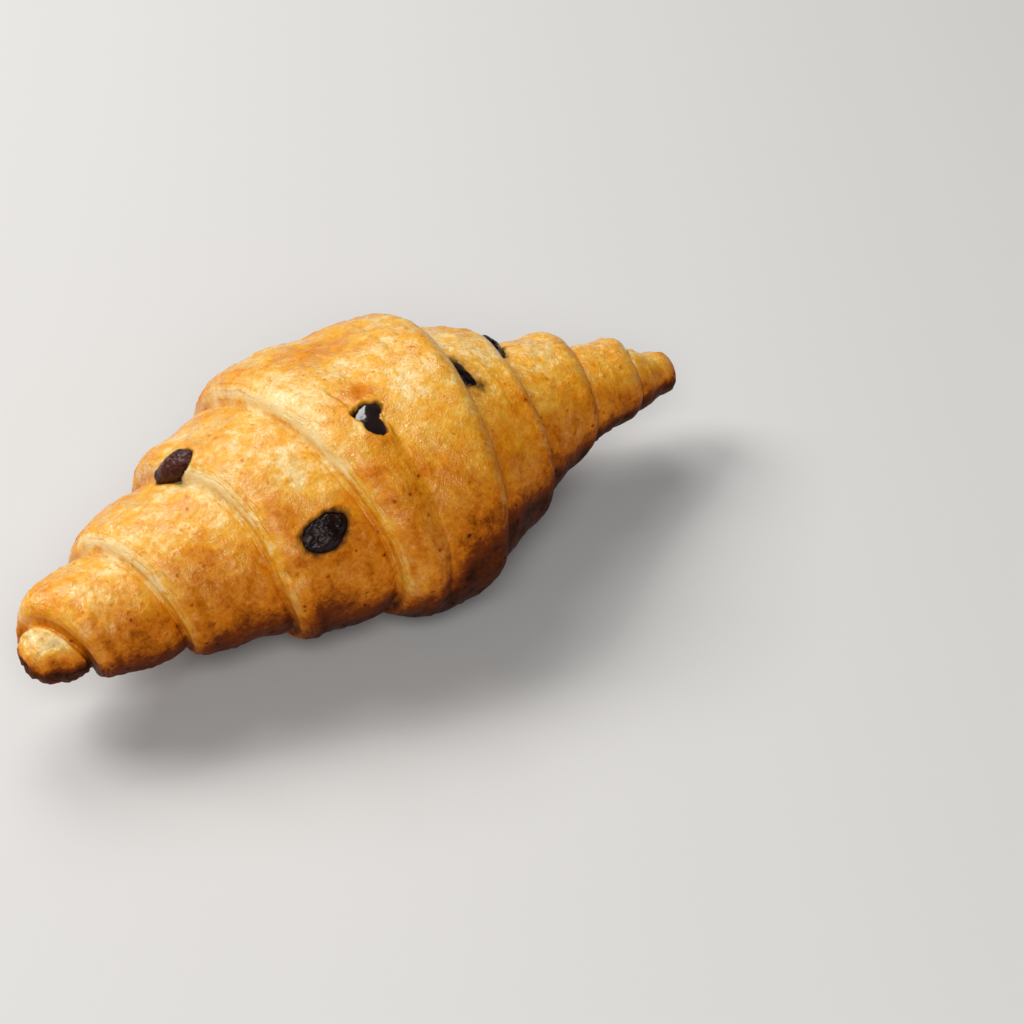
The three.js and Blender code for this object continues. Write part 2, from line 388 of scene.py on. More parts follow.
    def radius_inside(self, wraps: Wraps, inward: Array) -> Array:
        """Radius of the roll at a distance in from each wrap's edge.

        Args:
            wraps: The wraps.
            inward: Distance in from the edge of each.

        Returns:
            The radii.
        """
        back_width = np.maximum(wraps.width - wraps.lip, self.least_width)
        along = np.clip((inward - wraps.lip) / back_width, 0, 1)
        climb = 0.5 * along + 0.5 * along * along * (3 - 2 * along)
        back = (wraps.low + wraps.step) * (1 - climb) + wraps.following * climb
        back = back + wraps.puff * 4 * along * (1 - along)
        reach = np.clip(inward / np.maximum(wraps.lip, self.least_width), 0, 1)
        rise = np.sqrt(1 - (1 - reach) ** 2)
        return wraps.low + (back - wraps.low) * rise

    def end_of(self, side: End) -> RollEnd:
        """The sizes of one end."""
        return self.left if side is End.LEFT else self.right

    def radius_at(self, x: float, phase: float) -> float:
        """Radius of the roll at one place along it and round it.

        Args:
            x: Place along the roll.
            phase: Share of a turn from the bottom, over the back.

        Returns:
            The radius.
        """
        end = self.left if x < 0 else self.right
        turn = phase - 1.0
        while float(self.edge_at(end, np.array(turn + 1.0))) > abs(x):
            turn += 1.0
        wraps = self.wraps_at(end, np.array(turn))
        return float(self.radius_inside(wraps, wraps.outer - abs(x)))

    def points(self, x: Array, radius: Array, phase: Array) -> Array:
        """Points of the surface, with the tips rounded off and the lumps added, not yet pressed flat.

        Args:
            x: Places along the roll.
            radius: Radius at each.
            phase: Share of a turn at each.

        Returns:
            The points, in millimetres.
        """
        share = x / self.half_length
        cap = np.where(x < 0, self.left.cap, self.right.cap)
        near_tip = np.clip((self.half_length - np.abs(x)) / cap, 0, 1)
        rounding = np.sqrt(1 - (1 - near_tip) ** 2)
        full = radius
        for lump in self.lumps:
            apart = phase - lump.phase - np.round(phase - lump.phase)
            fall = ((x - lump.x) / lump.length) ** 2 + (apart / lump.turns) ** 2
            full = full + lump.rise * np.exp(-fall)
        widening = self.widening_middle + (self.widening_tip - self.widening_middle) * share * share
        angle = 2 * math.pi * phase
        y = self.centre_y - self.tip_bend * share * share + full * rounding * widening * np.sin(angle)
        z = self.axis_height - self.tip_drop * share * share - full * rounding / widening * np.cos(angle)
        return np.stack(np.broadcast_arrays(x, y, z), axis=-1)

    def upward(self, points: Array) -> Array:
        """How far up the side of the roll points lie: 1 on top, 0 half way, -1 underneath.

        Args:
            points: The points, in millimetres.

        Returns:
            The share of each.
        """
        share = points[:, 0] / self.half_length
        across = (points[:, 1] - self.centre_y + self.tip_bend * share * share) / self.widening_middle
        above = (points[:, 2] - self.axis_height + self.tip_drop * share * share) * self.widening_middle
        return above / np.maximum(np.hypot(across, above), 1.0)

    def point(self, x: float, phase: float) -> Vector:
        """One point of the surface, in millimetres."""
        radius = self.radius_at(x, phase)
        return Vector(self.points(np.array(x), np.array(radius), np.array(phase)))

    def line_distance(self, points: Array, places: tuple[tuple[float, float], ...]) -> Array:
        """Distance of points from a line that runs over the dough.

        Args:
            points: The points, in millimetres.
            places: Places along the roll and round it that the line joins.

        Returns:
            The distances.
        """
        line = [np.array(self.point(x, phase)) for x, phase in places]
        nearest = np.full(len(points), np.inf)
        for start, end in zip(line, line[1:]):
            run = end - start
            share = np.clip(((points - start) @ run) / (run @ run), 0, 1)
            nearest = np.minimum(nearest, np.linalg.norm(points - start - share[:, None] * run, axis=1))
        return nearest

    def chip_matrix(self, chip: Chip) -> Matrix:
        """Where a chip sits, its thickness along the dough's normal, in millimetres.

        Args:
            chip: The chip.

        Returns:
            The matrix that puts a chip modelled at the origin in its place.
        """
        step_along, step_round = 1.5, 0.012
        along = self.point(chip.x + step_along, chip.phase) - self.point(chip.x - step_along, chip.phase)
        before = self.point(chip.x, chip.phase - step_round)
        round_roll = before - self.point(chip.x, chip.phase + step_round)
        normal = round_roll.cross(along).normalized()
        middle = self.point(chip.x, chip.phase)
        axis = Vector(self.points(np.array(chip.x), np.array(0.0), np.array(0.0)))
        if normal.dot(middle - axis) < 0:
            normal.negate()
        across = Matrix.Rotation(math.radians(chip.degrees), 3, normal) @ along.normalized()
        side = normal.cross(across).normalized()
        across = side.cross(normal)
        basis = Matrix((across, side, normal)).transposed().to_4x4()
        return Matrix.Translation(middle + normal * chip.proud) @ basis


CHIPS: tuple[Chip, ...] = (
    Chip("chip_front", -20, 0.648, (5.0, 3.3, 1.6), 6, -1.1, rim=0.1, hole=0.97, soaked=0.32),
    Chip(
        "chip_crown", -2.3, 0.558, (4.6, 3.3, 1.8), 57, -1.3, rim=0.45, hole=0.8, ragged=0.14, melted=1.0,
        tears=((88, 0.32, 24), (125, -0.2, 22), (-135, 0.2, 26), (-80, -0.34, 20), (-42, 0.16, 16))),
    Chip("chip_left", -34.7, 0.45, (5.0, 2.7, 2.2), -48, -0.9, rim=0.35, hole=0.93, warmth=0.8),
    Chip("chip_right", 21.6, 0.538, (2.4, 4.4, 1.8), 12, -1.1, rim=0.1, hole=0.92, soaked=0.8),
    Chip("chip_skyline", 36.0, 0.468, (3.9, 2.6, 1.9), 0, -0.3, rim=0.2, hole=0.93, soaked=0.25),
    Chip("chip_back_left", -47, 0.235, (3.9, 3.2, 2.0), 25, -0.9, rim=0.3, hole=0.9),
    Chip("chip_back_middle", -9, 0.255, (4.2, 3.3, 1.7), -50, -1.1, rim=0.4, hole=0.8, ragged=0.2),
    Chip("chip_back_low", 17, 0.19, (3.6, 3.4, 1.7), 10, -0.9, rim=0.15, hole=0.9),
    Chip("chip_back_right", 46, 0.25, (4.0, 3.0, 2.0), 75, -0.8, rim=0.4, hole=0.92),
)
RIM_WAVES = ((0.05, 2, 1.0), (0.04, 3, 2.3))


def chip_unevenness(around: Array, number: int) -> Array:
    """How far a chip's rim swells or draws in at each direction round it, as in the solid.

    Args:
        around: The directions, in radians.
        number: The chip's number, which shifts the waves of its rim.

    Returns:
        The swelling at each direction, as a share of the chip's size.
    """
    return sum(height * np.sin(count * around + shift * number) for height, count, shift in RIM_WAVES)


@dataclass(frozen=True)
class Fold:
    """A soft fold or nick in the dough: the places it runs through, its depth and its width."""

    places: tuple[tuple[float, float], ...]
    depth: float
    width: float


@dataclass(frozen=True)
class CrustSpot:
    """A spot of crust darker than the crust round it, or paler where its amount is below 0.

    Most are browned spots; some low on the front paint shade, and some paler ones paint light and sheen.
    """

    x: float
    phase: float
    amount: float
    radius: float


@dataclass(frozen=True)
class CrustRelief:
    """The crust's relief, in millimetres. Each pair of numbers is where a share is 0 and where it is 1.

    The dough is flatter near a wrap's edge, and the left tip is more crumpled, with deeper creases. Where
    the dough is layered, the layers show as fine steps in patches along the wraps' edges.
    """

    swell: Waviness = Waviness(0.45, 17.0, 1.0, 2)
    lumps: Waviness = Waviness(0.16, 5.0, 2.0, 3)
    crumple: Waviness = Waviness(0.09, 1.5, 3.0, 2)
    blisters: Waviness = Waviness(1.0, 1.9, 5.0, 2)
    layer_wander: Waviness = Waviness(0.55, 7.0, 4.0, 2)
    layer_patches: Waviness = Waviness(1.0, 9.0, 6.0, 1)
    core_lumps: Waviness = Waviness(1.0, 2.2, 7.0, 3)
    open_dough: Pair = (0.3, 2.5)
    share_at_edge: float = 0.35
    crumpled_tip: Fade = Fade(-54.0, -66.0, 1.6)
    blister_height: float = 0.15
    blister_noise: Pair = (0.15, 0.6)
    crease_depth: float = 0.75
    crease_width: float = 0.42
    creased_tip: Fade = Fade(-58.0, -66.0, 0.8)
    creased_less_in_layers: float = 0.35
    layer_spacing: float = 0.9
    layer_depth: float = 0.3
    layer_noise: Pair = (-0.35, 0.3)
    layer_reach: Pair = (3.6, 0.9)
    layer_start: Pair = (0.1, 0.6)
    core_height: float = 0.36
    core_sink: float = 0.3
    folds: tuple[Fold, ...] = (
        Fold(((-12, 0.432), (4.2, 0.429), (12.8, 0.424)), 0.3, 0.9),
        Fold(((12.8, 0.424), (12.2, 0.462), (11.6, 0.5)), 0.4, 0.9),
        Fold(((-8.1, 0.69), (-7.7, 0.719), (-7.1, 0.748), (-6.8, 0.79)), 0.45, 0.8),
        Fold(((-31.6, 0.655), (-31.0, 0.665)), 1.0, 0.7),
        Fold(((-29.4, 0.68), (-28.8, 0.69)), 0.9, 0.6),
        Fold(((-6.6, 0.512), (-5.6, 0.535)), -0.45, 0.8),
        Fold(((-5.6, 0.515), (-4.6, 0.53)), 0.4, 0.6),
    )

    def heights(self, roll: Roll, points: Array, facts: dict[str, Array]) -> Array:
        """How far the crust stands out or in along its normal.

        Args:
            roll: The roll's form.
            points: The points, in millimetres.
            facts: What each point knows of its wrap.

        Returns:
            The displacement of each point, in millimetres.
        """
        x, inward, layered, to_edge = points[:, 0], facts["inward"], facts["layered"], facts["to_edge"]
        open_dough = smoothstep(*self.open_dough, to_edge)
        crumple = self.crumple.at(points) * self.crumpled_tip.at(x)
        body = self.swell.at(points) + self.lumps.at(points) + crumple
        body = body * (self.share_at_edge + (1 - self.share_at_edge) * open_dough)
        blisters = smoothstep(*self.blister_noise, self.blisters.at(points))
        blisters = self.blister_height * blisters * open_dough
        crease = -self.crease_depth * np.exp(-((to_edge / self.crease_width) ** 2))
        crease = crease * self.creased_tip.at(x) * (1 - self.creased_less_in_layers * layered)
        wave = np.cos(2 * math.pi * (inward + self.layer_wander.at(points)) / self.layer_spacing)
        patchy = smoothstep(*self.layer_noise, self.layer_patches.at(points))
        near = smoothstep(*self.layer_reach, inward) * smoothstep(*self.layer_start, inward)
        layers = -self.layer_depth * layered * patchy * near * smoothstep(0.0, 1.0, wave)
        core = facts["core"] * self.core_height * (self.core_lumps.at(points) - self.core_sink)
        folds = sum(
            -fold.depth * np.exp(-((roll.line_distance(points, fold.places) / fold.width) ** 2))
            for fold in self.folds
        )
        return body + blisters + crease + layers + core + folds


@dataclass(frozen=True)
class ChipSockets:
    """The hollows that the chips lie in.

    Heights are in millimetres over the chip's middle, and distances round it are shares of the hole's size.
    """

    depth: float = 2.3
    wall: Pair = (1.04, 0.8)
    widest: float = 3.5
    lowest: float = -7.0
    reached: Pair = (2.6, 1.4)
    ragged: Waviness = Waviness(1.0, 2.0, 9.0, 2)
    rim_at: float = 1.2
    rim_width: float = 0.22
    blotches: Waviness = Waviness(0.5, 1.2, 30.0, 2)
    soaked: Pair = (1.02, 0.97)
    scorched: Pair = (2.6, 1.1)

    def press(self, roll: Roll, points: Array) -> tuple[Array, Array, Array]:
        """Presses the dough in under each chip and raises it round the chip.

        Args:
            roll: The roll's form.
            points: The points, in millimetres.

        Returns:
            The moved points, how stained by chocolate each is, and how browned by the chip beside it.
        """
        moved = points.copy()
        stain = np.zeros(len(points))
        scorch = np.zeros(len(points))
        for number, chip in enumerate(CHIPS):
            matrix = roll.chip_matrix(chip)
            inverse = np.array(matrix.inverted())
            local = points @ inverse[:3, :3].T + inverse[:3, 3]
            along, across, above = local.T / np.array((*chip.size[:2], 1.0))[:, None]
            away = np.hypot(along, across)
            near = np.flatnonzero((away < self.widest) & (above > self.lowest) & (above < self.reached[0]))
            around = np.arctan2(across[near], along[near])
            outline = chip.hole * (1 + chip_unevenness(around, number))
            outline = outline + chip.ragged * self.ragged.at(points[near], number)
            for degrees, outward, spread in chip.tears:
                turned = (np.degrees(around) - degrees + 180) % 360 - 180
                outline = outline + outward * np.exp(-((turned / spread) ** 2))
            away = away[near] / outline
            reached = smoothstep(*self.reached, above[near])
            press = -self.depth * smoothstep(*self.wall, away) * reached
            rim = chip.rim * np.exp(-(((away - self.rim_at) / self.rim_width) ** 2)) * reached
            moved[near] += (press + rim)[:, None] * np.array(matrix.col[2][:3])
            blotch = chip.soaked * self.blotches.at(points[near], number)
            soaked = smoothstep(self.soaked[0] + chip.soaked, self.soaked[1], away + blotch)
            stain[near] = np.maximum(stain[near], soaked * reached)
            scorch[near] = np.maximum(scorch[near], smoothstep(*self.scorched, away) * reached)
        return moved, stain, scorch


@dataclass(frozen=True)
class BrowningAndPaintedShade:
    """How browned the crust is, with painted shade: pale in the folds, amber on the sides, dark below.

    An amount is what a place adds to the tone. Each pair of numbers is where a share is 0 and where it is 1:
    by how far up the roll's side it lies, by a place in millimetres, or by how it faces the camera's right.
    The darker sides and underside are partly baked brown and partly painted shade. Faces turned to the
    camera's right, away from the key light, the low front of the right half and the creases are darkened
    as painted shade. Spots darken or pale single places: most are browned, some low on the front paint
    shade, and some paler ones paint light and sheen.
    """

    start: float = 0.17
    most: float = 0.93
    # Darkening down the sides, below and under the nub is partly browning and partly painted shade; the
    # darkening of faces turned to the camera's right, of the low right front and along the creases is
    # painted shade.
    amounts: tuple[tuple[str, float], ...] = (
        ("side", 0.26),
        ("under", 0.5),
        # painted shade on faces turned to the camera's right
        ("shade_facing_right", 0.14),
        # painted shade low on the right front
        ("painted_shade_low_right", 0.46),
        ("tip", -0.06),
        ("core", -0.1),
        ("core_bottom", 0.42),
        ("pale_lip", -0.2),
        ("brown_corner", 0.06),
        ("brown_rim", 0.13),
        # painted shade along the creases
        ("crease", 0.3),
    )
    # Faces turned this way, to the camera's right and away from the key light, are darkened as painted
    # shade, less so higher up.
    shade_from: tuple[float, float, float] = (0.8, -0.6, 0.0)
    shade_facing: Pair = (0.0, 0.95)
    shade_high: Fade = Fade(16.0, 46.0, -0.8)
    side_up: Pair = (1.02, 0.35)
    under_up: Pair = (0.08, -0.5)
    under_behind: Fade = Fade(4.0, 16.0, -0.3)
    left_x: Pair = (-14.0, -28.0)
    under_left_higher: float = 0.16
    under_left_less: float = 0.22
    # Painted shade: the low front of the right half is darkened, less so farther right and behind.
    shade_low_up: Pair = (0.36, -0.1)
    shade_low_x: Pair = (-4.0, 8.0)
    shade_low_far: Fade = Fade(16.0, 40.0, -0.48)
    shade_low_behind: Fade = Fade(-6.0, 6.0, -0.7)
    tip_x: Pair = (62.0, 74.0)
    core_z: Pair = (24.0, 16.5)
    lip_inward: Pair = (2.0, 0.5)
    lip_tip: Fade = Fade(-58.0, -66.0, -1.7)
    corner_inward: float = 4.2
    corner_width: float = 0.8
    rim_inward: Pair = (1.8, 0.3)
    crease_width: float = 0.3
    crease_less_in_layers: float = 0.4
    # Single spots: most are browned; some low on the front paint shade, and some paler ones paint light and
    # sheen.
    crust_spots: tuple[CrustSpot, ...] = tuple(CrustSpot(*row) for row in (
        (0.0, 0.526, 0.2, 3.0), (-4.6, 0.524, 0.14, 2.2), (-3.9, 0.582, 0.16, 2.4), (-9.5, 0.608, 0.2, 2.2),
        (-41.9, 0.616, 0.12, 4.2), (-25.3, 0.616, 0.16, 3.0), (-69.0, 0.52, 0.2, 4.5),
        (29.1, 0.599, 0.1, 3.6), (-2.8, 0.45, 0.08, 5.0), (-37.0, 0.5, 0.1, 2.2), (8.0, 0.64, 0.05, 7.0),
        (-22.0, 0.748, 0.12, 4.5), (3.3, 0.608, 0.06, 7.0), (-38.1, 0.622, 0.06, 5.0),
        (23.5, 0.615, 0.08, 6.0), (-9.9, 0.498, -0.14, 4.0), (-33.4, 0.507, -0.12, 3.0),
        (-65.0, 0.5, -0.1, 3.0), (-17.4, 0.403, -0.12, 4.0), (44.2, 0.505, -0.14, 4.5),
        (-70.0, 0.597, -0.16, 3.0), (8.0, 0.54, -0.1, 5.0), (-1.2, 0.693, -0.08, 5.0),
        (-24.8, 0.693, -0.12, 4.5), (-24.0, 0.745, 0.08, 4.5), (-43.4, 0.726, 0.07, 5.0),
        (-58.1, 0.705, 0.07, 5.0), (-10.4, 0.68, 0.06, 3.5), (-9.4, 0.718, -0.08, 3.0),
        (7.3, 0.731, 0.08, 6.0), (-66.6, 0.446, 0.16, 4.5), (-7.2, 0.604, 0.1, 3.0),
        (-6.2, 0.646, 0.03, 3.5), (4.6, 0.448, 0.12, 6.0), (-2.5, 0.46, 0.08, 4.0), (73.0, 0.48, 0.3, 2.6),
    ))

    def shares(self, roll: Roll, points: Array, normals: Array, facts: dict[str, Array]) -> dict[str, Array]:
        """How much each point belongs to each place of its own tone, browned and painted with shade.

        Args:
            roll: The roll's form.
            points: The points, in millimetres.
            normals: The normals there.
            facts: What each point knows of its wrap.

        Returns:
            The share of each point, by the name of the place.
        """
        x, y, z = points.T
        upward = roll.upward(points)
        inward, layered, core = facts["inward"], facts["layered"], facts["core"]
        left = smoothstep(*self.left_x, x)
        under = smoothstep(self.under_up[0] + self.under_left_higher * left, self.under_up[1], upward)
        under = under * (1 - self.under_left_less * left)
        # Painted shade: faces turned to the camera's right, away from the key light, are darker, less so
        # higher up.
        turned_right = smoothstep(*self.shade_facing, normals @ np.array(self.shade_from))
        # Painted shade: darker low on the front of the right half.
        painted_shade_low_right = smoothstep(*self.shade_low_up, upward) * smoothstep(*self.shade_low_x, x)
        pale_lip = smoothstep(*self.lip_inward, inward) * layered
        corner = np.exp(-(((inward - self.corner_inward) / self.corner_width) ** 2))
        # Painted shade: a thin dark line along each crease.
        crease = np.exp(-((facts["to_edge"] / self.crease_width) ** 2))
        # Darker down the sides, under the roll and under the nub: partly browning, partly painted shade.
        return {
            "side": smoothstep(*self.side_up, upward),
            "under": under * self.under_behind.at(y),
            "shade_facing_right": turned_right * self.shade_high.at(z),
            "painted_shade_low_right": painted_shade_low_right * self.shade_low_far.at(x) * self.shade_low_behind.at(y),
            "tip": smoothstep(*self.tip_x, np.abs(x)),
            "core": core,
            "core_bottom": core * smoothstep(*self.core_z, z),
            "pale_lip": pale_lip * self.lip_tip.at(x),
            "brown_corner": corner * layered,
            "brown_rim": smoothstep(*self.rim_inward, inward) * (1 - layered),
            "crease": crease * (1 - self.crease_less_in_layers * layered),
        }

    def baked(self, roll: Roll, points: Array, normals: Array, facts: dict[str, Array]) -> Array:
        """How browned the crust is, with its painted shade and light.

        Args:
            roll: The roll's form.
            points: The points, in millimetres.
            normals: The normals there.
            facts: What each point knows of its wrap.

        Returns:
            The tone of each point, from 0 up to nearly 1: browned, with painted shade and light.
        """
        shares = self.shares(roll, points, normals, facts)
        baked = self.start + sum(amount * shares[place] for place, amount in self.amounts)
        for crust_spot in self.crust_spots:
            away = np.linalg.norm(points - np.array(roll.point(crust_spot.x, crust_spot.phase)), axis=1)
            baked = baked + crust_spot.amount * np.exp(-((away / crust_spot.radius) ** 2))
        return np.clip(baked, 0.0, self.most)


@dataclass
class Pastry:
    """The baked dough: its fine mesh, its sockets for the chips, and its crust.

    The core is the innermost roll, which stands out of the last wrap at the left tip. A point that no edge
    is near is given the distance no_edge from it. Relief that would pass the soft limit is eased off.
    """

    roll: Roll
    relief: CrustRelief = CrustRelief()
    sockets: ChipSockets = ChipSockets()
    browning_and_shade: BrowningAndPaintedShade = BrowningAndPaintedShade()
    columns: int = 360
    lip_rows: int = 12
    lip_crowding: float = 1.6
    back_rows: int = 32
    most_triangles: int = 190000
    no_edge: float = 9.0
    core_turns: Pair = (0.05, -0.1)
    core_x: Pair = (-60.0, -66.0)
    soft_limit: float = 0.9
    merged_metres: float = 2e-6
    shortest_metres: float = 1e-7

    def rows(self) -> tuple[Array, Array, Array, Array, Array]:
        """Every row of the grid from tip to tip: place, radius, inward distance, wrap width and turn.

        Returns:
            Five arrays, each with a row for each row of the grid and a column for each step round it.
        """
        phase = np.linspace(0.0, 1.0, self.columns + 1)
        lip_shares = (np.arange(self.lip_rows) / (self.lip_rows - 1)) ** self.lip_crowding
        back_shares = (np.arange(self.back_rows) + 1) / (self.back_rows + 1)
        parts = []
        for side in End:
            end = self.roll.end_of(side)
            part = []
            for whole in range(-1, int(self.roll.last_turn) + 1):
                turn = whole + phase
                wraps = self.roll.wraps_at(end, turn)
                inwards = [wraps.lip * share for share in lip_shares]
                inwards += [wraps.lip + (wraps.width - wraps.lip) * share for share in back_shares]
                covered = turn >= self.roll.last_turn
                for inward in inwards:
                    radius = self.roll.radius_inside(wraps, inward)
                    known = np.where(covered, self.no_edge, inward)
                    width = np.where(covered, 2 * self.no_edge, wraps.width)
                    part.append((end.sign * (wraps.outer - inward), radius, known, width, turn))
            parts.append(part if side is End.LEFT else part[::-1])
        along = [0.0, self.roll.crown, self.no_edge, 2 * self.no_edge]
        middle = (*(value + 0 * phase for value in along), self.roll.last_turn + phase)
        rows = parts[0] + [middle] + parts[1]
        return tuple(np.array([row[i] for row in rows]) for i in range(5))

    def start_grid(self, rows: int) -> bpy.types.Object:
        """A flat grid with a vertex for each row and column.

        Args:
            rows: How many rows of vertices it has.

        Returns:
            The grid's object.
        """
        deselect_all()
        bpy.ops.mesh.primitive_grid_add(x_subdivisions=self.columns, y_subdivisions=rows - 1, size=2.0)
        piece = bpy.context.object
        piece.name = piece.data.name = "baked_dough"
        return piece

    def roll_up(self) -> bpy.types.Object:
        """Rolls the flat grid up into the closed croissant, and keeps what each point knows of its wrap.

        Returns:
            The rolled piece.
        """
        x, radius, inward, width, turn = self.rows()
        piece = self.start_grid(len(x))
        mesh = piece.data
        flat = read_all(mesh.vertices, "co", 3)
        column = np.rint((flat[:, 0] + 1) / 2 * self.columns).astype(int)
        row = np.rint((flat[:, 1] + 1) / 2 * (len(x) - 1)).astype(int)
        points = self.roll.points(x[row, column], radius[row, column], column / self.columns)
        facts = {"inward": inward, "wrap_width": width, "turn": turn}
        write_points(mesh, points, {name: values[row, column] for name, values in facts.items()})
        make_active(piece)
        bpy.ops.object.mode_set(mode="EDIT")
        bpy.ops.mesh.select_all(action="SELECT")
        bpy.ops.mesh.remove_doubles(threshold=self.merged_metres)
        bpy.ops.mesh.dissolve_degenerate(threshold=self.shortest_metres)
        bpy.ops.mesh.normals_make_consistent(inside=False)
        bpy.ops.object.mode_set(mode="OBJECT")
        return piece

    def facts(self, mesh: bpy.types.Mesh, points: Array) -> dict[str, Array]:
        """What each point knows of its wrap.

        Args:
            mesh: The rolled piece's mesh.
            points: Its points, in millimetres.

        Returns:
            By name: the distance in from the wrap's edge, the turn, how layered the dough's edge is, the
            distance from the nearest edge, and how much of the core it is.
        """
        names = ("inward", "wrap_width", "turn")
        inward, width, turn = (read_all(mesh.attributes[name].data, "value") for name in names)
        to_next = np.where(turn < self.roll.last_turn - 1, width - inward, np.inf)
        return {
            "inward": inward,
            "turn": turn,
            "layered": np.where(points[:, 0] < 0, self.roll.left.lamination, self.roll.right.lamination),
            "to_edge": np.minimum(inward, np.maximum(to_next, 0.0)),
            "core": smoothstep(*self.core_turns, turn) * smoothstep(*self.core_x, points[:, 0]),
        }

    def shape(self, piece: bpy.types.Object) -> None:
        """Gives the rolled piece its baked relief, sockets and flat underside.

        Args:
            piece: The rolled piece.
        """
        mesh = piece.data
        points = read_all(mesh.vertices, "co", 3) / MM
        normals = read_all(mesh.vertex_normals, "vector", 3)
        facts = self.facts(mesh, points)
        # How browned each point is, with painted shade and light, becomes the mark baked.
        baked = self.browning_and_shade.baked(self.roll, points, normals, facts)
        marks = {"baked": baked, "layered": facts["layered"]}
        moved = points + normals * self.relief.heights(self.roll, points, facts)[:, None]
        moved, marks["stained"], marks["scorched"] = self.sockets.press(self.roll, moved)
        for axis, (low, high) in enumerate(zip(points.min(axis=0), points.max(axis=0))):
            middle, reach = (high + low) / 2, (high - low) / 2 - self.soft_limit
            over = np.maximum(np.abs(moved[:, axis] - middle) - reach, 0.0)
            eased = self.soft_limit * np.tanh(over / self.soft_limit)
            moved[:, axis] -= np.sign(moved[:, axis] - middle) * (over - eased)
        moved[:, 2] = np.maximum(moved[:, 2], 0.0)
        write_points(mesh, moved, marks)

    def thin(self, piece: bpy.types.Object) -> None:
        """Thins the flat stretches of the mesh, and shades it smooth.

        Args:
            piece: The shaped piece.
        """
        make_active(piece)
        triangles = sum(len(face.vertices) - 2 for face in piece.data.polygons)
        if triangles > self.most_triangles:
            modifier = piece.modifiers.new("thin", "DECIMATE")
            modifier.ratio = self.most_triangles / triangles
            bpy.ops.object.modifier_apply(modifier=modifier.name)
        bpy.ops.object.shade_smooth()

    def build(self) -> bpy.types.Object:
        """Models the pastry.

        Returns:
            The finished piece.
        """
        piece = self.roll_up()
        self.shape(piece)
        self.thin(piece)
        piece.data.materials.append(BakedCrust().material())
        return piece


@dataclass
class ChocolateChips:
    """The chips: softened in the oven and set again, dull on top with a few glossy spots.

    A melted chip is thinner, flatter and smoother, and leans. A roundness of 1 is a ball's, and a smaller
    one is flatter on top. The pits are where the noise is high.
    """

    roll: Roll
    subdivisions: int = 5
    roundness: float = 0.8
    melted_flatter: float = 0.2
    wrinkle: Waviness = Waviness(0.34, 2.2, 20.0, 4)
    pits: Waviness = Waviness(1.0, 0.8, 40.0, 2)
    pit_noise: Pair = (0.1, 0.5)
    pit_depth: float = 0.16
    melted_lean: tuple[float, float, float] = (0.166, -0.021, 0.0)
    melted_thickness: float = 0.64
    melted_smoothness: float = 0.93

    def build_one(self, chip: Chip, number: int) -> bpy.types.Object:
        """Models one chip in its socket.

        Args:
            chip: The chip.
            number: Its number, which sets its uneven form.

        Returns:
            The chip's object.
        """
        deselect_all()
        bpy.ops.mesh.primitive_ico_sphere_add(subdivisions=self.subdivisions, radius=1.0)
        piece = bpy.context.object
        piece.name = piece.data.name = chip.name.replace("chip", "chocolate")
        mesh = piece.data
        ball = read_all(mesh.vertices, "co", 3)
        around = np.arctan2(ball[:, 1], ball[:, 0])
        uneven = 1 + np.hypot(ball[:, 0], ball[:, 1]) * chip_unevenness(around, number)
        length, breadth, thickness = chip.size
        thickness *= 1 - (1 - self.melted_thickness) * chip.melted
        domed = np.abs(ball[:, 2]) ** (self.roundness - self.melted_flatter * chip.melted)
        local = np.stack([ball[:, 0] * length * uneven, ball[:, 1] * breadth * uneven,
                          np.sign(ball[:, 2]) * domed * thickness], axis=-1)
        rough = self.wrinkle.at(local, number)
        rough -= self.pit_depth * smoothstep(*self.pit_noise, self.pits.at(local, number))
        local += ball * (rough * (1 - self.melted_smoothness * chip.melted))[:, None]
        matrix = np.array(self.roll.chip_matrix(chip))
        lean = matrix[:3, :3].T @ np.array(self.melted_lean)
        local[:, 2] += chip.melted * (local[:, :2] @ lean[:2])
        marks = {name: np.full(len(ball), getattr(chip, name)) for name in ("melted", "warmth")}
        write_points(mesh, local @ matrix[:3, :3].T + matrix[:3, 3], marks)
        make_active(piece)
        bpy.ops.object.shade_smooth()
        return piece

    def build(self) -> dict[str, bpy.types.Object]:
        """Models every chip and gives it its finish.

        Returns:
            The chips by the name of the solid that each stands for.
        """
        finish = BakedChocolate().material()
        chips = {chip.name: self.build_one(chip, number) for number, chip in enumerate(CHIPS)}
        for piece in chips.values():
            piece.data.materials.append(finish)
        return chips


def linear(hex_colour: str) -> tuple[float, float, float, float]:
    """An sRGB hex colour as linear light.

    Args:
        hex_colour: Such as "#e0a050".

    Returns:
        Red, green, blue and a full alpha.
    """
    channels = [int(hex_colour[i:i + 2], 16) / 255 for i in (1, 3, 5)]
    light = [c / 12.92 if c <= 0.04045 else ((c + 0.055) / 1.055) ** 2.4 for c in channels]
    return (light[0], light[1], light[2], 1.0)


def blank_material(name: str) -> bpy.types.Material:
    """Starts a material without nodes.

    Args:
        name: The material's name.

    Returns:
        The material.
    """
    material = bpy.data.materials.new(name)
    material.use_nodes = True
    material.node_tree.nodes.clear()
    return material


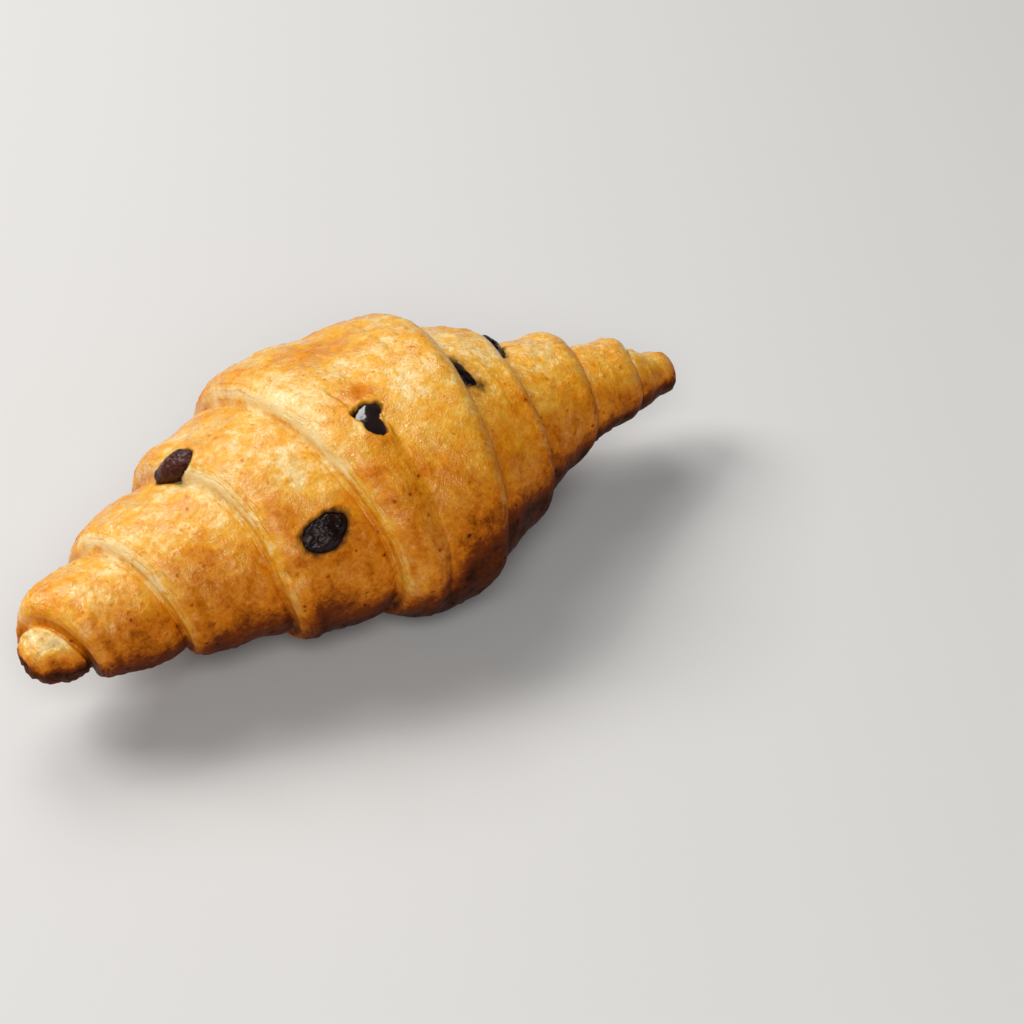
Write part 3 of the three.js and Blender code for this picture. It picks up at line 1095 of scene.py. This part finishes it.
def add_node(tree: bpy.types.NodeTree, kind: str, inputs: Inputs = (), **settings: object) -> bpy.types.Node:
    """Adds a shader node with its settings and links.

    Args:
        tree: The material's node tree.
        kind: The node's type name, without "ShaderNode".
        inputs: What its inputs get, in order, or by name or number: a node, whose first output is linked,
            an output, a number, a row of numbers or an sRGB hex colour.
        settings: Properties of the node itself, which may change its inputs and are set first.

    Returns:
        The new node.
    """
    node = tree.nodes.new("ShaderNode" + kind)
    for name, value in settings.items():
        setattr(node, name, value)
    for place, value in inputs.items() if isinstance(inputs, dict) else enumerate(inputs):
        if isinstance(value, bpy.types.Node):
            value = value.outputs[0]
        if isinstance(value, bpy.types.NodeSocket):
            tree.links.new(value, node.inputs[place])
        else:
            node.inputs[place].default_value = linear(value) if isinstance(value, str) else value
    return node


def set_ramp(node: bpy.types.Node, stops: Tones) -> None:
    """Sets the stops of a colour ramp.

    Args:
        node: The colour ramp.
        stops: Places and sRGB hex colours.
    """
    elements = node.color_ramp.elements
    while len(elements) < len(stops):
        elements.new(0.5)
    for element, (place, colour) in zip(elements, stops):
        element.position = place
        element.color = linear(colour)


def weighted_sum(add: Adder, start: object, *terms: tuple[object, object]) -> bpy.types.Node:
    """Adds values up, each by its weight.

    Args:
        add: Adds a node to the material, as add_node does.
        start: The value that the rest is added to.
        terms: The values and their weights.

    Returns:
        The node that gives the sum.
    """
    total = start
    for value, weight in terms:
        total = add("Math", (value, weight, total), operation="MULTIPLY_ADD")
    return total


def product_of_shares(add: Adder, *shares: tuple[object, float, float]) -> bpy.types.Node:
    """Multiplies shares that each go smoothly from 0 to 1.

    Args:
        add: Adds a node to the material, as add_node does.
        shares: For each, its value, and the values at which the share is 0 and 1.

    Returns:
        The node that gives the product.
    """
    product = 1.0
    for share in shares:
        faded = add("MapRange", share, interpolation_type="SMOOTHSTEP")
        product = add("Math", (product, faded), operation="MULTIPLY")
    return product


@dataclass(frozen=True)
class Pattern:
    """Noise drawn on a surface: the size of its lumps in millimetres, its finer layers and their share."""

    name: str
    size: float
    detail: float
    roughness: float = 0.5

    def inputs(self) -> dict[str, float]:
        """What the pattern's node is set to."""
        return {"Scale": 1.0 / (self.size * MM), "Detail": self.detail, "Roughness": self.roughness}


@dataclass(frozen=True)
class BakedCrust:
    """Egg-washed laminated dough, baked golden: waxy, mottled, specked, and darker below.

    The eye sees a warm, slightly translucent crust, duller where it is dark, with small broken glints of the
    thin wash. Tones go by how browned it is, with the painted shade and light that the mark baked carries.
    Each pair of numbers is where a share is 0 and where it is 1, but calm_share and wash_weight give the
    least and the most, and bump and glints a strength and a height in millimetres. The real crust's grain,
    of about 0.1 mm, is too fine to show and is drawn at 0.45 mm.
    """

    name: str = "egg_washed_crust"
    tones: Tones = (
        (0.02, "#eccd8c"),
        (0.18, "#e3a734"),
        (0.36, "#d98a12"),
        (0.54, "#c46c07"),
        (0.76, "#6f2e03"),
        (1.0, "#200901"),
    )
    # The mark baked holds how browned the crust is, with painted shade and light.
    marks: tuple[str, ...] = ("baked", "scorched", "stained", "inward", "layered")
    patterns: tuple[Pattern, ...] = (
        Pattern("patches", 9.0, 4.0, 0.62),
        Pattern("mottle", 2.6, 5.0, 0.68),
        Pattern("flecks", 0.9, 3.0, 0.7),
        Pattern("grain", 0.45, 2.0, 0.6),
        Pattern("layer_wander", 7.0, 3.0),
        Pattern("speck_drift", 0.8, 1.0),
        Pattern("speck_gathering", 9.0, 2.0),
        Pattern("wash", 3.4, 4.0, 0.65),
    )
    swings: tuple[tuple[str, float], ...] = (("patches", 0.6), ("mottle", 0.62), ("flecks", 0.4))
    calm_baked: Pair = (0.95, 0.5)
    calm_share: Pair = (0.45, 1.0)
    scorch: float = 0.05
    speck: float = 0.25
    speck_spacing: float = 1.7
    speck_drift: float = 0.6
    speck_gathering: float = 0.6
    speck_chance: Pair = (0.55, 0.8)
    speck_reach: Pair = (0.34, 0.08)
    speck_tone: Pair = (-0.3, 1.0)
    layer_spacing: float = 0.8
    layer_wander: float = 1.6
    layer_wave: Pair = (0.1, 1.0)
    layer_inward: Pair = (3.8, 0.6)
    layer_patches: Pair = (0.35, 0.6)
    overlays: tuple[tuple[str, float, str], ...] = (
        ("lines", 0.35, "#c46c07"),
        ("stained", 0.92, "#2b1714"),
    )
    heights: tuple[tuple[str, float], ...] = (
        ("grain", 0.4),
        ("flecks", 0.5),
        ("mottle", 0.8),
        ("lines", -0.35),
    )
    bump: Pair = (0.8, 0.3)
    glints: Pair = (0.9, 0.35)
    roughness: float = 0.35
    roughness_swing: float = 0.4
    shine: float = 0.07
    wash_noise: Pair = (0.42, 0.58)
    wash_weight: Pair = (0.3325, 1.2825)
    wash_browned: Pair = (0.62, 0.22)
    wash_stained: Pair = (0.5, 0.0)
    wash_roughness: float = 0.22
    wash_ior: float = 1.6
    glow: float = 0.2
    glow_colours: tuple[float, float, float] = (1.0, 0.45, 0.14)
    glow_reach: float = 2.2

    def specks(self, add: Adder, known: dict[str, object]) -> bpy.types.Node:
        """Small red-brown specks, each round one of a few scattered points.

        Args:
            add: Adds a node to the material, as add_node does.
            known: The material's places, marks and patterns, by name.

        Returns:
            The node that gives how far each place lies in a speck.
        """
        drift = known["speck_drift"].outputs["Color"]
        step = (self.speck_drift * MM,) * 3
        place = add("VectorMath", (drift, step, known["place"]), operation="MULTIPLY_ADD")
        cells = add("TexVoronoi", {"Vector": place, "Scale": 1.0 / (self.speck_spacing * MM)})
        chance = add("SeparateColor", (cells.outputs["Color"],))
        gathering = (known["speck_gathering"], self.speck_gathering)
        chosen = weighted_sum(add, -self.speck_gathering / 2, gathering, (chance, 1.0))
        return product_of_shares(
            add,
            (chosen, *self.speck_chance),
            (cells.outputs["Distance"], *self.speck_reach),
            (chance.outputs["Green"], *self.speck_tone),
        )

    def layer_lines(self, add: Adder, known: dict[str, object]) -> bpy.types.Node:
        """Thin darker lines where the layers of the dough end at a wrap's edge.

        Args:
            add: Adds a node to the material, as add_node does.
            known: The material's places, marks and patterns, by name.

        Returns:
            The node that gives how far each place lies on a line.
        """
        inward = weighted_sum(add, known["inward"], (known["layer_wander"], self.layer_wander))
        angle = add("Math", (inward, 2 * math.pi / self.layer_spacing), operation="MULTIPLY")
        lines = product_of_shares(
            add,
            (add("Math", (angle,), operation="COSINE"), *self.layer_wave),
            (known["inward"], *self.layer_inward),
            (known["patches"], *self.layer_patches),
        )
        return add("Math", (lines, known["layered"]), operation="MULTIPLY")

    def browned(self, add: Adder, known: dict[str, object]) -> bpy.types.Node:
        """The crust's browned tone with painted shade, its mottling, calmer where it is dark, and specks.

        Args:
            add: Adds a node to the material, as add_node does.
            known: The material's places, marks and patterns, by name.

        Returns:
            The node that gives the tone.
        """
        middle = -sum(weight for _, weight in self.swings) / 2
        swing = weighted_sum(add, middle, *((known[name], weight) for name, weight in self.swings))
        calm = (known["baked"], *self.calm_baked, *self.calm_share)
        calm = add("MapRange", calm, interpolation_type="SMOOTHSTEP")
        specks = (self.specks(add, known), self.speck)
        return weighted_sum(add, known["baked"], (swing, calm), (known["scorched"], self.scorch), specks)

    def material(self) -> bpy.types.Material:
        """Makes the crust's material.

        Returns:
            The material.
        """
        material = blank_material(self.name)
        add = partial(add_node, material.node_tree)
        known = {"place": add("TexCoord").outputs["Object"]}
        for name in self.marks:
            known[name] = add("Attribute", attribute_name=name).outputs["Fac"]
        for pattern in self.patterns:
            known[pattern.name] = add("TexNoise", {"Vector": known["place"], **pattern.inputs()})
        known["lines"] = self.layer_lines(add, known)
        browned = self.browned(add, known)
        colour = add("ValToRGB", (browned,))
        set_ramp(colour, self.tones)
        for name, strength, over in self.overlays:
            share = add("Math", (known[name], strength), operation="MULTIPLY")
            mix = {MIX_SHARE: share, MIX_UNDER: colour, MIX_OVER: over}
            colour = add("Mix", mix, data_type="RGBA").outputs[MIX_RESULT]
        height = weighted_sum(add, 0.0, *((known[name], weight) for name, weight in self.heights))
        bump, glints = (
            add("Bump", {"Strength": strength, "Distance": distance * MM, "Height": height})
            for strength, distance in (self.bump, self.glints)
        )
        broken = (known["wash"], *self.wash_noise, *self.wash_weight)
        broken = add("MapRange", broken, interpolation_type="SMOOTHSTEP")
        spread = product_of_shares(
            add, (browned, *self.wash_browned), (known["stained"], *self.wash_stained))
        shader = add("BsdfPrincipled", {
            "Base Color": colour,
            "Roughness": weighted_sum(add, self.roughness, (known["mottle"], self.roughness_swing)),
            "Specular IOR Level": self.shine,
            "Normal": bump,
            "Coat Weight": add("Math", (spread, broken), operation="MULTIPLY"),
            "Coat Roughness": self.wash_roughness,
            "Coat IOR": self.wash_ior,
            "Coat Normal": glints,
            "Subsurface Weight": self.glow,
            "Subsurface Radius": self.glow_colours,
            "Subsurface Scale": self.glow_reach * MM,
        })
        add("OutputMaterial", {"Surface": shader})
        return material


@dataclass(frozen=True)
class BakedChocolate:
    """Dark chocolate that has softened and set again: nearly black, with a dull bloom and glossy spots.

    The eye sees it redder where it is warm, and as smooth as glass where it has melted.
    """

    name: str = "baked_dark_chocolate"
    tones: Tones = ((0.35, "#0c0505"), (0.64, "#1f0d09"), (0.88, "#271c20"))
    red: str = "#5a2410"
    broad: Pattern = Pattern("broad", 2.5, 3.0)
    fine: Pattern = Pattern("fine", 0.6, 3.0)
    dull_noise: Pair = (0.3, 0.7)
    dull_roughness: Pair = (0.06, 0.28)
    roughness: float = 0.08
    bump_height: float = 0.2
    shine: float = 0.26
    shine_tint: str = "#f6ecf2"
    coat_roughness: float = 0.1
    coat_ior: float = 1.7

    def material(self) -> bpy.types.Material:
        """Makes the chocolate's material.

        Returns:
            The material.
        """
        material = blank_material(self.name)
        add = partial(add_node, material.node_tree)
        place = add("TexCoord").outputs["Object"]
        broad = add("TexNoise", {"Vector": place, **self.broad.inputs()})
        fine = add("TexNoise", {"Vector": place, **self.fine.inputs()})
        tone = add("ValToRGB", (broad,))
        set_ramp(tone, self.tones)
        warmth, melted = (
            add("Attribute", attribute_name=name).outputs["Fac"] for name in ("warmth", "melted"))
        warmth = add("Math", (warmth, broad), operation="MULTIPLY")
        mix = {MIX_SHARE: warmth, MIX_UNDER: tone, MIX_OVER: self.red}
        dull = add("Math", (1.0, melted), operation="SUBTRACT")
        roughness = add("MapRange", (broad, *self.dull_noise, *self.dull_roughness))
        shader = add("BsdfPrincipled", {
            "Base Color": add("Mix", mix, data_type="RGBA").outputs[MIX_RESULT],
            "Roughness": weighted_sum(add, self.roughness, (roughness, dull)),
            "Normal": add("Bump", {"Height": fine, "Strength": dull, "Distance": self.bump_height * MM}),
            "Specular IOR Level": self.shine,
            "Specular Tint": self.shine_tint,
            "Coat Weight": melted,
            "Coat Roughness": self.coat_roughness,
            "Coat IOR": self.coat_ior,
        })
        add("OutputMaterial", {"Surface": shader})
        return material


@dataclass(frozen=True)
class PaleFloor:
    """Matt painted board: pale and without gloss, so that only the croissant's soft shadow shows on it."""

    name: str = "pale_floor"
    colour: str = "#c9c8c7"
    roughness: float = 0.8

    def material(self) -> bpy.types.Material:
        """Makes the floor's material.

        Returns:
            The material.
        """
        material = blank_material(self.name)
        add = partial(add_node, material.node_tree)
        shader = add("BsdfPrincipled", {"Base Color": self.colour, "Roughness": self.roughness})
        add("OutputMaterial", {"Surface": shader})
        return material


@dataclass(frozen=True)
class Lamp:
    """A square soft light that faces the croissant.

    The first three numbers are how far it hangs to the right of the croissant, behind it and above it, as
    the camera sees it, in metres. Its width is in metres too, and its power in watts.
    """

    name: str
    right: float
    behind: float
    above: float
    width: float
    power: float
    colour: str


@dataclass
class Studio:
    """A pale floor, soft light from the upper left and a camera at the photograph's angle.

    The angles are in degrees and the distances in metres. The aim is moved from the croissant's middle to
    the right and up, as the camera sees it.
    """

    azimuth: float = -36.5
    elevation: float = 41.0
    distance: float = 0.52
    focal_pixels: float = 2690.0
    image_pixels: int = 1024
    sensor_mm: float = 36.0
    near_clip: float = 0.01
    aim_height: float = 0.020
    aim_right: float = 0.03126
    aim_up: float = -0.00571
    aim_y: float = 0.00045
    lamps: tuple[Lamp, ...] = (
        Lamp("key", -0.66, 0.22, 0.72, 0.46, 7.4, "#fffdfa"),
        Lamp("top", -0.2, 0.6, 0.78, 0.5, 4.2, "#fffefc"),
        Lamp("front_fill", 0.05, -0.7, 0.7, 0.5, 5.6, "#fffefc"),
    )
    surroundings: str = "#f4f5f7"
    surroundings_strength: float = 0.08
    floor_size: float = 3.0

    def axes(self) -> tuple[Vector, Vector, Vector]:
        """The camera's axes.

        Returns:
            Its directions to the right, up and backwards.
        """
        turn, lift = math.radians(self.azimuth), math.radians(self.elevation)
        right = Vector((math.cos(turn), math.sin(turn), 0.0))
        back = Vector((math.sin(turn) * math.cos(lift), -math.cos(turn) * math.cos(lift), math.sin(lift)))
        return right, back.cross(right), back

    def add_camera(self) -> None:
        """Adds the camera that the photograph's view was measured with."""
        right, up, back = self.axes()
        aim = Vector((0.0, self.aim_y, self.aim_height)) + right * self.aim_right + up * self.aim_up
        camera = bpy.data.objects.new("camera", bpy.data.cameras.new("camera"))
        camera.data.sensor_width = self.sensor_mm
        camera.data.lens = self.sensor_mm * self.focal_pixels / self.image_pixels
        camera.data.clip_start = self.near_clip
        facing = Matrix((right, up, back)).transposed().to_4x4()
        camera.matrix_world = Matrix.Translation(aim + back * self.distance) @ facing
        bpy.context.scene.collection.objects.link(camera)
        bpy.context.scene.camera = camera

    def add_lights(self) -> None:
        """Adds the key from the left, a light above, a fill from the front and the pale surroundings."""
        right, _, back = self.axes()
        behind = Vector((-back.x, -back.y, 0.0)).normalized()
        up = Vector((0.0, 0.0, 1.0))
        for lamp in self.lamps:
            place = right * lamp.right + behind * lamp.behind + up * lamp.above
            data = bpy.data.lights.new(lamp.name, "AREA")
            data.size = lamp.width
            data.energy = lamp.power
            data.color = linear(lamp.colour)[:3]
            light = bpy.data.objects.new(lamp.name, data)
            facing = place.to_track_quat("Z", "Y").to_matrix().to_4x4()
            light.matrix_world = Matrix.Translation(place) @ facing
            bpy.context.scene.collection.objects.link(light)
        world = bpy.data.worlds.new("surroundings")
        world.use_nodes = True
        background = world.node_tree.nodes["Background"]
        background.inputs["Color"].default_value = linear(self.surroundings)
        background.inputs["Strength"].default_value = self.surroundings_strength
        bpy.context.scene.world = world

    def add_floor(self) -> None:
        """Adds the pale floor under the croissant."""
        deselect_all()
        bpy.ops.mesh.primitive_plane_add(size=self.floor_size, location=(0.0, 0.0, 0.0))
        floor = bpy.context.object
        floor.name = "floor"
        floor.data.materials.append(PaleFloor().material())

    def build(self) -> None:
        """Sets up the whole studio."""
        self.add_camera()
        self.add_lights()
        self.add_floor()
        bpy.context.scene.view_settings.view_transform = "Standard"


def place_piece(piece: bpy.types.Object, node: str) -> None:
    """Puts a finished piece in the shared frame in place of its solid.

    Args:
        piece: The finished piece.
        node: The solid that it stands for.
    """
    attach(piece, BODY)
    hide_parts(node)
    LOG.info("%s stands for %s with %d faces", piece.name, node, len(piece.data.polygons))


def main() -> None:
    """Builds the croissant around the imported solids, lights it and reports each piece."""
    logging.basicConfig(level=logging.INFO, format="%(message)s")
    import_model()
    Studio().build()
    roll = Roll()
    place_piece(Pastry(roll).build(), "pastry")
    for node, chip in ChocolateChips(roll).build().items():
        place_piece(chip, node)
    deselect_all()


if __name__ == "__main__":
    main()
